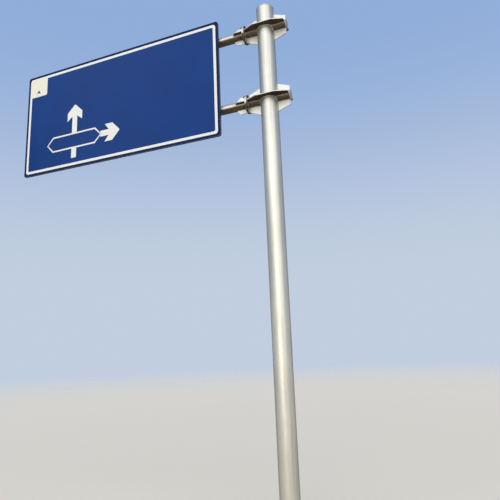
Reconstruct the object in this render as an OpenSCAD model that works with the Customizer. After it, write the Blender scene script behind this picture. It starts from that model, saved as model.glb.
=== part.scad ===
// Cantilever sign gantry: a round steel column on a bolted base plate, with two
// pipe arms on bolted flange joints that carry one rectangular sign board.
// Origin at the centre of the base plate's underside, +Z up, arms towards -X,
// the board's face towards -Y. All sizes in millimetres.

/* [Board] */
// Width of the sign board
board_w = 4000; // [3000:100:5000]
// Height of the sign board
board_h = 2000; // [1700:50:2400]
// Clear height from the ground to the board's bottom edge
board_clearance = 5500; // [4500:50:6500]
// Thickness of the board's aluminium sheet
sheet_t = 3; // [2:0.5:5]
// Corner radius of the board
board_corner_r = 40; // [20:5:120]
// Depth of the folded edge behind the sheet
edge_d = 30; // [15:1:36]
// Thickness of the folded edge
edge_t = 3; // [2:0.5:5]

/* [Rear channels] */
// Number of upright channels behind the board
channel_count = 7; // [4:1:8]
// Distance from the board's side edges to the outer channels' middle
channel_inset = 200; // [120:10:300]
// Width of a channel's riveted foot
channel_foot_w = 100; // [80:5:140]
// Width of a channel's box
channel_box_w = 46; // [36:1:70]
// Depth of a channel behind the sheet
channel_d = 38; // [36:1:60]
// Wall of a channel
channel_wall = 4; // [2:0.5:6]
// Distance from the board's top and bottom edges to a channel's ends
channel_end_gap = 25; // [10:5:60]

/* [Arms] */
// Height of the lower arm's axis above the board's bottom edge
low_arm_rise = 470; // [300:10:600]
// Depth of the upper arm's axis below the board's top edge
top_arm_drop = 325; // [250:5:500]
// Outside diameter of an arm's pipe
arm_od = 140; // [120:1:146]
// Wall of an arm's pipe
arm_wall = 6; // [4:0.5:10]
// Length of bare arm between its flange and the board's near edge
arm_bare = 420; // [280:10:800]
// Distance from an arm's closed end to the board's far edge
arm_end_inset = 60; // [20:10:90]
// Thickness of the plate that closes an arm's end
arm_cap_t = 6; // [4:1:10]

/* [Arm flanges] */
// Diameter of the flanges between arm and column
flange_d = 290; // [290:5:340]
// Thickness of one flange
flange_t = 16; // [12:1:28]
// Circle of the flange bolts
flange_pcd = 246; // [230:2:246]
// Diameter of the flange bolts
flange_bolt_d = 20; // [14:1:22]
// Distance from the column's axis to the flanges' meeting faces
near_reach = 345; // [340:5:420]
// Length of the ribs along an arm
arm_rib_len = 170; // [140:10:220]
// Length of an arm rib's straight outer edge
arm_rib_flat = 120; // [20:5:130]
// Height of an arm rib at its thin end
arm_rib_tip = 12; // [6:1:30]
// Thickness of the arm ribs
arm_rib_t = 10; // [6:1:16]

/* [Column joints] */
// Distance from the column's axis to the closed end of a stub
far_reach = 345; // [340:5:420]
// Thickness of the plate that closes a stub's end
stub_cap_t = 6; // [4:1:8]
// Length of stub that stands out past the far ends of its plates
stub_end = 12; // [10:1:30]
// Half width of the side plates and web plates at their far ends
far_half = 155; // [120:5:180]
// Half width of the side plates beside the column
side_plate_half = 222; // [200:2:260]
// Half length of the side plates' straight edge
side_plate_flat = 150; // [120:5:200]
// Half height of the web plates at the column
web_half = 225; // [190:5:260]
// Thickness of the side plates and web plates
gusset_t = 12; // [8:1:16]
// Distance from the flange's rim to the end corners of the plates and ribs on it
gusset_inset = 5; // [3:1:16]

/* [Column] */
// Height of the column's top above the upper arm's axis
column_rise = 365; // [280:5:600]
// Outside diameter of the column's pipe
column_od = 273; // [245:1:299]
// Wall of the column's pipe
column_wall = 8; // [6:1:14]
// Thickness of the cap plate on the column's top
column_cap_t = 8; // [5:1:12]

/* [Base] */
// Diameter of the base plate
base_d = 600; // [570:10:800]
// Thickness of the base plate
base_t = 25; // [16:1:40]
// Circle of the anchor bolt holes
anchor_pcd = 480; // [450:5:500]
// Number of anchor bolt holes
anchor_count = 8; // [6:1:10]
// Diameter of the anchor bolt holes
anchor_hole_d = 36; // [24:1:42]
// Height of the ribs above the base plate
base_rib_h = 280; // [150:10:400]
// Width of a base rib at its top
base_rib_top = 28; // [16:2:50]
// Thickness of the base ribs
base_rib_t = 12; // [8:1:16]
// Distance from a base rib's toe to the plate's rim
base_rib_toe = 20; // [10:2:40]

/* [Hoops] */
// Width of the steel strap that makes the hoops and saddle plates
strap_w = 50; // [40:2:80]
// Thickness of the strap
strap_t = 5; // [3:0.5:8]
// Length of a hoop's ears beyond the strap's legs
hoop_ear = 45; // [32:1:60]
// Diameter of the hoop bolts
hoop_bolt_d = 12; // [8:1:14]
// Thickness of the saddle plate between arm and channel
saddle_t = 6; // [4:1:12]

/* [Hidden] */
$fn = 96;
// Clearance of a bolt in its hole, on the diameter
bolt_play = 2;
// Bolt heads and nuts, as shares of the bolt's diameter
hex_ratio = 1.5;
head_ratio = 0.63;
nut_ratio = 0.9;
// Washers, as shares of the bolt's diameter
washer_d_ratio = 1.85;
washer_t_ratio = 0.17;
// Length of thread that shows past a nut
thread_end = 14;
// Play of a hoop bolt in a channel's slot, and of its head between a channel's sides
slot_play = 3;
head_play = 2;
// Extra length that lets a cut pass right through
over = 1;

board_gap = near_reach + flange_t + arm_bare;
arm_r = arm_od / 2;
column_r = column_od / 2;
board_top = board_clearance + board_h;
lower_z = board_clearance + low_arm_rise;
upper_z = board_top - top_arm_drop;
column_h = upper_z + column_rise;
arm_end_x = -(board_gap + board_w - arm_end_inset);

// Layers from the arm's axis forwards to the board's face
saddle_y = -(arm_r + saddle_t);
sheet_back_y = saddle_y - channel_d;
channel_pitch = (board_w - 2 * channel_inset) / (channel_count - 1);
channel_xs = [for (i = [0 : channel_count - 1])
    -(board_gap + channel_inset + i * channel_pitch)];

// Holes for the hoop bolts, above and below an arm's axis
channel_slot_w = hoop_bolt_d + slot_play;
hoop_bolt_rise = arm_r + strap_t + hoop_ear / 2;

// Both ends of the plates that brace a stub, and half their width at the flange
near_face = -(near_reach - flange_t);
far_face = far_reach - stub_end;
near_half = flange_d / 2 - gusset_inset;
quarters = [45, 135, 225, 315];

steel = [0.72, 0.74, 0.75];
zinc = [0.62, 0.63, 0.64];
black_steel = [0.12, 0.12, 0.12];
aluminium = [0.80, 0.81, 0.83];
sheeting = [0.05, 0.16, 0.46];

// Extrudes a Y-Z outline along X, from x0 to x1
module along_x(x0, x1) {
    translate([x0, 0, 0]) rotate([90, 0, 90]) linear_extrude(x1 - x0) children();
}

// Extrudes an X-Z outline to both sides of the X-Z plane
module upright(t) {
    rotate([90, 0, 0]) linear_extrude(t, center = true) children();
}

// Round bar along X
module rod_x(d, x0, x1) {
    translate([x0, 0, 0]) rotate([0, 90, 0]) cylinder(d = d, h = x1 - x0);
}

// Pipe along X
module pipe_x(d, wall, x0, x1) {
    difference() {
        rod_x(d, x0, x1);
        rod_x(d - 2 * wall, x0 - over, x1 + over);
    }
}

// Hexagon bar along X, for heads and nuts
module hex_x(width, x0, x1) {
    translate([x0, 0, 0]) rotate([0, 90, 0])
        cylinder(d = width / cos(30), h = x1 - x0, $fn = 6);
}

// Places children on a circle about the X axis, between the ribs
module on_circle(pcd) {
    for (a = quarters) rotate([a, 0, 0]) translate([0, 0, pcd / 2]) children();
}

// Washer and nut on the face at x, with the end of the bolt through them
module nut_end(d, x) {
    washer_t = washer_t_ratio * d;
    rod_x(washer_d_ratio * d, x, x + washer_t);
    hex_x(hex_ratio * d, x + washer_t, x + washer_t + nut_ratio * d);
    rod_x(d, x, x + washer_t + nut_ratio * d + thread_end);
}

// Bolts through the plates between x0 and x1, with the heads at x0
module bolt_ring(d, pcd, x0, x1) {
    washer_t = washer_t_ratio * d;
    on_circle(pcd) {
        hex_x(hex_ratio * d, x0 - washer_t - head_ratio * d, x0 - washer_t);
        rod_x(washer_d_ratio * d, x0 - washer_t, x0);
        rod_x(d, x0 - washer_t, x1 + over);
        nut_end(d, x1);
    }
}

// Flange that is welded round a pipe and drilled for bolts
module drilled_flange(x0) {
    x1 = x0 + flange_t;
    difference() {
        rod_x(flange_d, x0, x1);
        rod_x(arm_od, x0 - over, x1 + over);
        on_circle(flange_pcd) rod_x(flange_bolt_d + bolt_play, x0 - over, x1 + over);
    }
}

module base_plate() {
    color(steel) difference() {
        cylinder(d = base_d, h = base_t);
        for (i = [0 : anchor_count - 1])
            rotate([0, 0, i * 360 / anchor_count])
                translate([anchor_pcd / 2, 0, -over])
                    cylinder(d = anchor_hole_d, h = base_t + 2 * over);
    }
}

module base_ribs() {
    rib_out = base_d / 2 - base_rib_toe;
    color(steel) translate([0, 0, base_t]) difference() {
        for (i = [0 : anchor_count - 1])
            rotate([0, 0, (i + 0.5) * 360 / anchor_count])
                upright(base_rib_t) polygon([
                    [column_r / 2, 0], [rib_out, 0], [rib_out, base_rib_top],
                    [column_r + base_rib_top, base_rib_h], [column_r / 2, base_rib_h]
                ]);
        translate([0, 0, -over]) cylinder(d = column_od, h = base_rib_h + 2 * over);
    }
}

module column() {
    color(steel) difference() {
        translate([0, 0, base_t])
            cylinder(d = column_od, h = column_h - column_cap_t - base_t);
        cylinder(d = column_od - 2 * column_wall, h = column_h);
        for (z = [lower_z, upper_z])
            translate([0, 0, z]) rod_x(arm_od, -column_od, column_od);
    }
}

module column_cap() {
    color(steel) translate([0, 0, column_h - column_cap_t])
        cylinder(d = column_od, h = column_cap_t);
}

// Short pipe that runs right through the column
module stub(z) {
    color(steel) translate([0, 0, z])
        pipe_x(arm_od, arm_wall, -near_reach, far_reach - stub_cap_t);
}

module stub_cap(z) {
    color(steel) translate([0, 0, z]) rod_x(arm_od, far_reach - stub_cap_t, far_reach);
}

module column_flange(z) {
    color(steel) translate([0, 0, z]) drilled_flange(-near_reach);
}

// Level plates before and behind the column, at the height of the stub's axis
module side_plates(z) {
    color(steel) translate([0, 0, z]) difference() {
        translate([0, 0, -gusset_t / 2]) linear_extrude(gusset_t) polygon([
            [near_face, near_half], [-side_plate_flat, side_plate_half],
            [side_plate_flat, side_plate_half], [far_face, far_half],
            [far_face, -far_half], [side_plate_flat, -side_plate_half],
            [-side_plate_flat, -side_plate_half], [near_face, -near_half]
        ]);
        translate([0, 0, -gusset_t]) cylinder(d = column_od, h = 2 * gusset_t);
        rod_x(arm_od, near_face - over, far_face + over);
    }
}

// Upright plates above and below the stub, on both sides of the column
module web_plates(z) {
    color(steel) translate([0, 0, z]) difference() {
        upright(gusset_t) polygon([
            [near_face, -near_half], [-column_r, -web_half],
            [column_r, -web_half], [far_face, -far_half],
            [far_face, far_half], [column_r, web_half],
            [-column_r, web_half], [near_face, near_half]
        ]);
        translate([0, 0, -web_half - over])
            cylinder(d = column_od, h = 2 * (web_half + over));
        rod_x(arm_od, near_face - over, far_face + over);
    }
}

// Bolts with their heads on the column's side and their nuts on the arm's side
module flange_bolts(z) {
    color(black_steel) translate([0, 0, z]) mirror([1, 0, 0])
        bolt_ring(flange_bolt_d, flange_pcd, -near_face, near_reach + flange_t);
}

module arm(z) {
    color(steel) translate([0, 0, z])
        pipe_x(arm_od, arm_wall, arm_end_x + arm_cap_t, -near_reach);
}

module arm_flange(z) {
    color(steel) translate([0, 0, z]) drilled_flange(-near_reach - flange_t);
}

// Four ribs that brace an arm's flange, each with its outer corner cut away
module arm_ribs(z) {
    root_x = -near_reach - flange_t;
    color(steel) translate([0, 0, z]) difference() {
        for (a = [0, 90, 180, 270])
            rotate([a, 0, 0]) upright(arm_rib_t) polygon([
                [root_x, arm_r / 2], [root_x, near_half], [root_x - arm_rib_flat, near_half],
                [root_x - arm_rib_len, arm_r + arm_rib_tip], [root_x - arm_rib_len, arm_r / 2]
            ]);
        rod_x(arm_od, root_x - arm_rib_len - over, root_x + over);
    }
}

module arm_cap(z) {
    color(steel) translate([0, 0, z]) rod_x(arm_od, arm_end_x, arm_end_x + arm_cap_t);
}

// Board outline in the X-Z plane, moved in by inset on every side
module board_outline(inset) {
    r = board_corner_r - inset;
    x0 = -(board_gap + board_w) + inset;
    x1 = -board_gap - inset;
    z0 = board_clearance + inset;
    z1 = board_top - inset;
    union() {
        translate([x0 + r, z0]) square([x1 - x0 - 2 * r, z1 - z0]);
        translate([x0, z0 + r]) square([x1 - x0, z1 - z0 - 2 * r]);
        for (x = [x0 + r, x1 - r], z = [z0 + r, z1 - r])
            translate([x, z]) circle(r);
    }
}

module board_sheet() {
    color(sheeting) translate([0, sheet_back_y, 0])
        rotate([90, 0, 0]) linear_extrude(sheet_t) board_outline(0);
}

// Folded edge, cut to the part between two corners of a box in the X-Z plane
module folded_edge(low, high) {
    color(sheeting) translate([0, sheet_back_y + edge_d, 0])
        rotate([90, 0, 0]) linear_extrude(edge_d) intersection() {
            difference() {
                board_outline(0);
                board_outline(edge_t);
            }
            translate(low) square(high - low);
        }
}

module board_top_edge() {
    folded_edge([-(board_gap + board_w) - over, board_top - board_corner_r],
        [-board_gap + over, board_top + over]);
}

module board_bottom_edge() {
    folded_edge([-(board_gap + board_w) - over, board_clearance - over],
        [-board_gap + over, board_clearance + board_corner_r]);
}

module board_near_edge() {
    folded_edge([-board_gap - board_corner_r, board_clearance + board_corner_r],
        [-board_gap + over, board_top - board_corner_r]);
}

module board_far_edge() {
    folded_edge([-(board_gap + board_w) - over, board_clearance + board_corner_r],
        [-(board_gap + board_w) + board_corner_r, board_top - board_corner_r]);
}

// Slotted upright channels that carry the sheet and take the hoops' bolts
module rear_channels() {
    box_half = channel_box_w / 2;
    color(aluminium)
        for (x = channel_xs)
            translate([x, sheet_back_y, board_clearance + channel_end_gap])
                linear_extrude(board_h - 2 * channel_end_gap) difference() {
                    union() {
                        translate([-channel_foot_w / 2, 0]) square([channel_foot_w, channel_wall]);
                        translate([-box_half, 0]) square([channel_box_w, channel_d]);
                    }
                    translate([-box_half + channel_wall, channel_wall])
                        square([channel_box_w - 2 * channel_wall, channel_d - 2 * channel_wall]);
                    translate([-channel_slot_w / 2, channel_wall]) square([channel_slot_w, channel_d]);
                }
}

// Cuts the holes for one hoop's bolts through its children
module drilled(x, z) {
    difference() {
        children();
        for (side = [-1, 1])
            translate([x, 0, z + side * hoop_bolt_rise]) rotate([90, 0, 0])
                cylinder(d = hoop_bolt_d + bolt_play, h = -sheet_back_y);
    }
}

// Flat plates between the channels and an arm
module saddles(z) {
    half = arm_r + strap_t + hoop_ear;
    color(zinc)
        for (x = channel_xs)
            drilled(x, z) translate([0, 0, z]) along_x(x - strap_w / 2, x + strap_w / 2)
                translate([saddle_y, -half]) square([saddle_t, 2 * half]);
}

// Strap hoops round the back of an arm, with ears on the saddle plates
module hoops(z) {
    outer_r = arm_r + strap_t;
    color(zinc)
        for (x = channel_xs)
            drilled(x, z) translate([0, 0, z])
                along_x(x - strap_w / 2, x + strap_w / 2) difference() {
                    union() {
                        circle(outer_r);
                        translate([-arm_r, -outer_r]) square([arm_r, 2 * outer_r]);
                        translate([-arm_r, -outer_r - hoop_ear])
                            square([strap_t, 2 * (outer_r + hoop_ear)]);
                    }
                    circle(arm_r);
                    translate([-outer_r - over, -arm_r]) square([outer_r + over, 2 * arm_r]);
                    translate([-outer_r - over, -outer_r]) square([over + strap_t, 2 * outer_r]);
                }
}

// Bolts with flat heads that slide in the channels, with nuts on the hoops' ears
module hoop_bolts(z) {
    head_w = channel_box_w - 2 * (channel_wall + head_play);
    head_t = head_ratio * hoop_bolt_d;
    lip_y = saddle_y - channel_wall;
    color(zinc)
        for (x = channel_xs, side = [-1, 1])
            translate([x, 0, z + side * hoop_bolt_rise]) {
                translate([-head_w / 2, lip_y - head_t, -hoop_bolt_d / 2])
                    cube([head_w, head_t, hoop_bolt_d]);
                rotate([0, 0, 90]) {
                    rod_x(hoop_bolt_d, lip_y - head_t / 2, strap_t - arm_r + over);
                    nut_end(hoop_bolt_d, strap_t - arm_r);
                }
            }
}

base_plate();
base_ribs();
column();
column_cap();
stub(lower_z);  // lower_stub
column_flange(lower_z);  // lower_column_flange
side_plates(lower_z);  // lower_side_plates
web_plates(lower_z);  // lower_web_plates
stub_cap(lower_z);  // lower_stub_cap
flange_bolts(lower_z);  // lower_flange_bolts
stub(upper_z);  // upper_stub
column_flange(upper_z);  // upper_column_flange
side_plates(upper_z);  // upper_side_plates
web_plates(upper_z);  // upper_web_plates
stub_cap(upper_z);  // upper_stub_cap
flange_bolts(upper_z);  // upper_flange_bolts
arm(lower_z);  // lower_arm
arm_flange(lower_z);  // lower_arm_flange
arm_ribs(lower_z);  // lower_arm_ribs
arm_cap(lower_z);  // lower_arm_cap
arm(upper_z);  // upper_arm
arm_flange(upper_z);  // upper_arm_flange
arm_ribs(upper_z);  // upper_arm_ribs
arm_cap(upper_z);  // upper_arm_cap
board_sheet();
board_top_edge();
board_bottom_edge();
board_near_edge();
board_far_edge();
rear_channels();
saddles(lower_z);  // lower_saddles
saddles(upper_z);  // upper_saddles
hoops(lower_z);  // lower_hoops
hoops(upper_z);  // upper_hoops
hoop_bolts(lower_z);  // lower_hoop_bolts
hoop_bolts(upper_z);  // upper_hoop_bolts
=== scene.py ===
"""Dresses a cantilever sign gantry: finishes, welds, bolts, rivets, the sign's face and a studio.

Lengths are in metres, in the frame's axes: +Z up, the arms towards -X and the sign's face
towards -Y. Sizes come from the boxes of the frame's nodes wherever a node carries them.
"""
import logging
import math
import random
from dataclasses import dataclass, field
from enum import Enum
from functools import cached_property
from typing import Callable, Sequence

import bmesh
import bpy
from mathutils import Matrix, Vector, noise


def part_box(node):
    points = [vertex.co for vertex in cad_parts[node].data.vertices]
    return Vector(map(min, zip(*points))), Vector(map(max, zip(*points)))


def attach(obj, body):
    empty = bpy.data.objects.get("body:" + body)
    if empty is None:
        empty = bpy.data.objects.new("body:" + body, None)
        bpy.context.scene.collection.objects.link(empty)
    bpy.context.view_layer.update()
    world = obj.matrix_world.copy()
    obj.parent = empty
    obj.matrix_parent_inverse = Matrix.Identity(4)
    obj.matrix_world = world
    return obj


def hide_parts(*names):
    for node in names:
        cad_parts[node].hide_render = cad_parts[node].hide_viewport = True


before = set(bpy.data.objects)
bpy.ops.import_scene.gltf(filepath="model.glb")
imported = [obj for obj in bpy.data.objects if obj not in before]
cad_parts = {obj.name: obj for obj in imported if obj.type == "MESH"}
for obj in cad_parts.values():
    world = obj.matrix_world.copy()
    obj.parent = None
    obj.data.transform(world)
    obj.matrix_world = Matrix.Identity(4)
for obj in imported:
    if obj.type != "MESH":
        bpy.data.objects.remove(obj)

LOG = logging.getLogger("gantry")
BODY = "root"
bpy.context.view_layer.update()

Socket = bpy.types.NodeSocket
Value = Socket | float | tuple
Colour = tuple[float, float, float]
Spot = tuple[float, float]
Span = tuple[float, float]

X_AXIS = Vector((1.0, 0.0, 0.0))
Y_AXIS = Vector((0.0, 1.0, 0.0))
Z_AXIS = Vector((0.0, 0.0, 1.0))
QUARTER = math.pi / 2
TURN = 2 * math.pi
SIDES = (-1, 1)


class Level(Enum):
    """The two heights at which an arm meets the column."""

    LOWER = "lower"
    UPPER = "upper"


class Slot(Enum):
    """Material slots of the record."""

    STEEL = "galvanised_steel"
    BLACK = "black_fasteners"
    ZINC = "zinc_fasteners"
    ALUMINIUM = "aluminium"
    BLUE = "blue_sheeting"
    WHITE = "white_sheeting"


class SeamKind(Enum):
    """Cross-sections of a weld bead."""

    FILLET = "in a corner"
    BUTT = "on a flat joint"


class Heading(Enum):
    """Ways in which an arrow on the sign points."""

    UP = "up"
    RIGHT = "right"


# Shader trees


class Graph:
    """Adds nodes to one shader tree and joins their sockets."""

    def __init__(self, tree: bpy.types.NodeTree) -> None:
        """Keeps the tree that the nodes go into."""
        self.tree = tree

    def feed(self, node: bpy.types.Node, values: dict[str | int, Value]) -> None:
        """Links inputs of a node to other sockets, or sets their own values.

        Args:
            node: The node that takes the values.
            values: Values by the input's name or index. A colour may leave out its alpha.
        """
        for key, value in values.items():
            socket = node.inputs[key]
            if isinstance(value, Socket):
                self.tree.links.new(value, socket)
            elif socket.type == "RGBA" and len(value) == 3:
                socket.default_value = (*value, 1.0)
            else:
                socket.default_value = value

    def add(self, kind: str, inputs: dict[str | int, Value] | None = None,
            **settings: object) -> bpy.types.Node:
        """Adds one node.

        Args:
            kind: The node's type, without the words ShaderNode.
            inputs: Values by the input's name or index.
            **settings: The node's own properties.

        Returns:
            The new node.
        """
        node = self.tree.nodes.new("ShaderNode" + kind)
        for name, value in settings.items():
            setattr(node, name, value)
        self.feed(node, inputs or {})
        return node

    def math(self, operation: str, *values: Value) -> Socket:
        """Returns the result of one arithmetic step."""
        return self.add("Math", dict(enumerate(values)), operation=operation).outputs[0]

    def times(self, first: Value, second: Value) -> Socket:
        """Returns a product."""
        return self.math("MULTIPLY", first, second)

    def mixed(self, first: Value, share: float, second: Value) -> Socket:
        """Returns a value made of a share of the first and the rest of the second."""
        return self.math("ADD", self.times(first, share), self.times(second, 1 - share))

    def blend(self, share: Value, first: Value, second: Value) -> Socket:
        """Returns a colour between two others."""
        inputs = {0: share, 6: first, 7: second}
        return self.add("Mix", inputs, data_type="RGBA").outputs[2]

    def coat(self, colour: Value, over: Value, mask: Socket, share: float) -> Socket:
        """Returns a colour with a share of another one laid over it where a mask shows."""
        return self.blend(self.times(mask, share), colour, over)

    def remap(self, value: Value, low: Value, high: Value, to_low: Value = 0.0,
              to_high: Value = 1.0) -> Socket:
        """Returns a value that runs smoothly from to_low to to_high as value goes low to high."""
        inputs = {0: value, 1: low, 2: high, 3: to_low, 4: to_high}
        return self.add("MapRange", inputs, interpolation_type="SMOOTHSTEP").outputs[0]

    def between(self, share: Socket, low: Value, high: Value) -> Socket:
        """Returns a value between two others."""
        return self.remap(share, 0.0, 1.0, low, high)

    def noise(self, place: Socket, scale: Value, detail: float = 3.0,
              roughness: float = 0.55) -> Socket:
        """Returns cloudy noise between 0 and 1."""
        inputs = {"Vector": place, "Scale": scale, "Detail": detail, "Roughness": roughness}
        return self.add("TexNoise", inputs).outputs[0]

    def streaky(self, place: Socket, stretch: tuple[float, float, float], detail: float = 3.0,
                roughness: float = 0.55) -> Socket:
        """Returns noise with its own scale along each axis."""
        stretched = self.add("VectorMath", {0: place, 1: stretch}, operation="MULTIPLY")
        return self.noise(stretched.outputs[0], 1.0, detail, roughness)

    def split(self, vector: Socket) -> list[Socket]:
        """Returns the three parts of a vector."""
        return list(self.add("SeparateXYZ", {0: vector}).outputs)

    def facing(self) -> Socket:
        """Returns the direction that the surface looks in, in the frame's axes."""
        return self.add("NewGeometry").outputs["Normal"]

    @cached_property
    def place(self) -> Socket:
        """The point's place on the object, in metres."""
        return self.add("TexCoord").outputs["Object"]

    def relief(self, height: Socket, depth: float, normal: Socket | None = None) -> Socket:
        """Gives the surface a relief.

        Args:
            height: The relief, from 0 to 1.
            depth: Its depth in metres.
            normal: A direction that it stands on, where it isn't the surface's own.

        Returns:
            The direction of the surface with its relief.
        """
        inputs = {"Height": height, "Distance": depth, "Strength": 1.0}
        if normal is not None:
            inputs["Normal"] = normal
        return self.add("Bump", inputs).outputs[0]


@dataclass(frozen=True)
class Port:
    """One named socket of a node group."""

    name: str
    kind: str = "Float"
    value: float | None = None


class Effect:
    """A shader node group that several finishes share, built on its first use."""

    title = "Effect"
    takes: tuple[Port, ...] = ()
    gives: tuple[Port, ...] = ()

    def wire(self, graph: Graph, given: dict[str, Socket]) -> dict[str, Socket]:
        """Builds the group's inside and returns what the group puts out, by name."""
        raise NotImplementedError

    def tree(self) -> bpy.types.NodeTree:
        """Makes the group's tree, or finds it where it is made already.

        Returns:
            The group's tree.
        """
        made = bpy.data.node_groups.get(self.title)
        if made:
            return made
        tree = bpy.data.node_groups.new(self.title, "ShaderNodeTree")
        for in_out, ports in (("INPUT", self.takes), ("OUTPUT", self.gives)):
            for port in ports:
                kind = "NodeSocket" + port.kind
                socket = tree.interface.new_socket(port.name, in_out=in_out, socket_type=kind)
                if port.value is not None:
                    socket.default_value = port.value
        inside = tree.nodes.new("NodeGroupInput")
        outside = tree.nodes.new("NodeGroupOutput")
        given = {port.name: inside.outputs[port.name] for port in self.takes}
        graph = Graph(tree)
        graph.feed(outside, self.wire(graph, given))
        return tree

    def put(self, graph: Graph, **values: Value) -> dict[str, Socket]:
        """Adds the group to a material at the point's place and returns its outputs by name."""
        node = graph.add("Group", {"Place": graph.place, **values}, node_tree=self.tree())
        return {port.name: node.outputs[port.name] for port in self.gives}


class Spangle(Effect):
    """Frozen zinc crystals: flat patches, each with its own tone and gloss."""

    title = "Zinc spangle"
    takes = (Port("Place", "Vector"), Port("Crystal", value=0.012))
    gives = (Port("Tone"), Port("Gloss"), Port("Height"))
    feathers = 5.0
    crystal_share = 0.72

    def wire(self, graph: Graph, given: dict[str, Socket]) -> dict[str, Socket]:
        """Builds crystals with ragged edges and faint feathers inside them.

        Args:
            graph: The group's tree.
            given: The surface's place and the size of a crystal.

        Returns:
            The crystals' tone, gloss and height.
        """
        place, crystal = given["Place"], given["Crystal"]
        scale = graph.math("DIVIDE", 1.0, crystal)
        ragged = graph.add("TexNoise", {"Vector": place, "Scale": scale, "Detail": 2.0}).outputs[1]
        shift = graph.add("VectorMath", {0: ragged, "Scale": crystal}, operation="SCALE")
        moved = graph.add("VectorMath", {0: place, 1: shift.outputs[0]}, operation="ADD")
        cells = graph.add("TexVoronoi", {"Vector": moved.outputs[0], "Scale": scale})
        tone, gloss, height = graph.split(cells.outputs["Color"])
        feather = graph.noise(place, graph.times(scale, self.feathers), detail=2.0)
        return {
            "Tone": graph.mixed(tone, self.crystal_share, feather),
            "Gloss": gloss,
            "Height": graph.times(graph.math("ADD", feather, height), 0.5),
        }


class Weather(Effect):
    """Marks of weather: cloudy patches, rain streaks and dust on tops, and a mask of painted shade
    on faces that look down.
    """

    title = "Weathering"
    takes = (Port("Place", "Vector"), Port("Streaks", value=0.5), Port("Reach", value=-0.42))
    gives = (Port("Patches"), Port("Streaks"), Port("Dust"), Port("PaintedUndersideShade"))
    upright = (0.85, 0.45)
    broad_rain = (9.0, 9.0, 0.55)
    thin_rain = (46.0, 46.0, 1.4)
    broad_share = 0.6
    rain = (0.47, 0.66)
    cloud_scale = 1.7
    cloud = (0.36, 0.66)
    speck_scale = 24.0
    dusty_top = (0.35, 0.9)
    dusty_speck = (0.3, 0.7)
    shade_from = -0.03
    shade_speck = (-0.5, 0.55)

    def wire(self, graph: Graph, given: dict[str, Socket]) -> dict[str, Socket]:
        """Builds the four masks from the place and the surface's own direction.

        Args:
            graph: The group's tree.
            given: The surface's place, the streaks' strength and how steeply the painted shade
                underneath fades.

        Returns:
            The four masks; the last one is where shade is painted underneath.
        """
        place = given["Place"]
        up = graph.split(graph.facing())[2]
        upright = graph.remap(graph.math("ABSOLUTE", up), *self.upright)
        broad = graph.streaky(place, self.broad_rain, detail=4.0, roughness=0.6)
        thin = graph.streaky(place, self.thin_rain, detail=2.0)
        rain = graph.remap(graph.mixed(broad, self.broad_share, thin), *self.rain)
        cloud = graph.noise(place, self.cloud_scale, detail=4.0, roughness=0.6)
        speck = graph.noise(place, self.speck_scale, detail=4.0, roughness=0.7)
        top = graph.remap(up, *self.dusty_top)
        # Painted shade: a mask on faces that look down, made patchy by the specks
        under = graph.remap(up, self.shade_from, given["Reach"])
        return {
            "Patches": graph.remap(cloud, *self.cloud),
            "Streaks": graph.times(graph.times(rain, upright), given["Streaks"]),
            "Dust": graph.times(top, graph.remap(speck, *self.dusty_speck)),
            "PaintedUndersideShade": graph.times(under, graph.remap(speck, *self.shade_speck)),
        }


class EdgeWear(Effect):
    """Rounds hard edges in the light and gives a mask of where they are rubbed bright."""

    title = "Edge wear"
    takes = (Port("Place", "Vector"), Port("Radius", value=0.002))
    gives = (Port("Mask"), Port("Normal", "Vector"))
    rubbed = (0.995, 0.86)
    speck_scale = 60.0
    speck = (0.38, 0.6)

    def wire(self, graph: Graph, given: dict[str, Socket]) -> dict[str, Socket]:
        """Builds the mask from how far the rounded direction leaves the true one.

        Args:
            graph: The group's tree.
            given: The surface's place and the radius of the rounding.

        Returns:
            The mask and the rounded direction.
        """
        rounded = graph.add("Bevel", {"Radius": given["Radius"]}, samples=4).outputs[0]
        inputs = {0: rounded, 1: graph.facing()}
        turn = graph.add("VectorMath", inputs, operation="DOT_PRODUCT").outputs["Value"]
        speck = graph.noise(given["Place"], self.speck_scale, roughness=0.7)
        mask = graph.times(graph.remap(turn, *self.rubbed), graph.remap(speck, *self.speck))
        return {"Mask": mask, "Normal": rounded}


class FilmCells(Effect):
    """The small prism cells of reflective sheeting, with its slight waviness."""

    title = "Sheeting cells"
    takes = (Port("Place", "Vector"), Port("Cell", value=0.004))
    gives = (Port("Lines"), Port("Cloud"), Port("Height"))
    slant = 0.58
    wall = (0.22, 0.06)
    cloud_scale = 1.1
    cloud = (0.3, 0.7)
    wave_scale = 5.0

    def wire(self, graph: Graph, given: dict[str, Socket]) -> dict[str, Socket]:
        """Builds two slanting sets of lines across the face and a soft cloud.

        Args:
            graph: The group's tree.
            given: The surface's place and the size of a cell.

        Returns:
            The cells' walls, the cloud and the relief.
        """
        place = given["Place"]
        across, _, along = graph.split(place)
        pitch = graph.math("DIVIDE", math.pi, given["Cell"])
        walls = []
        for slant in (self.slant, -self.slant):
            run = graph.math("ADD", across, graph.times(along, slant))
            wave = graph.math("ABSOLUTE", graph.math("SINE", graph.times(run, pitch)))
            walls.append(graph.remap(wave, *self.wall))
        lines = graph.math("MAXIMUM", *walls)
        waves = graph.noise(place, self.wave_scale, detail=2.0)
        return {
            "Lines": lines,
            "Cloud": graph.remap(graph.noise(place, self.cloud_scale), *self.cloud),
            "Height": graph.math("SUBTRACT", waves, lines),
        }


SPANGLE = Spangle()
WEATHER = Weather()
EDGE_WEAR = EdgeWear()
FILM_CELLS = FilmCells()


# Finishes


def new_material(name: str) -> tuple[bpy.types.Material, Graph, bpy.types.Node]:
    """Makes a material.

    Args:
        name: The material's name.

    Returns:
        The material, its tree and its Principled shader.
    """
    material = bpy.data.materials.new(name)
    material.use_nodes = True
    return material, Graph(material.node_tree), material.node_tree.nodes["Principled BSDF"]


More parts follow.
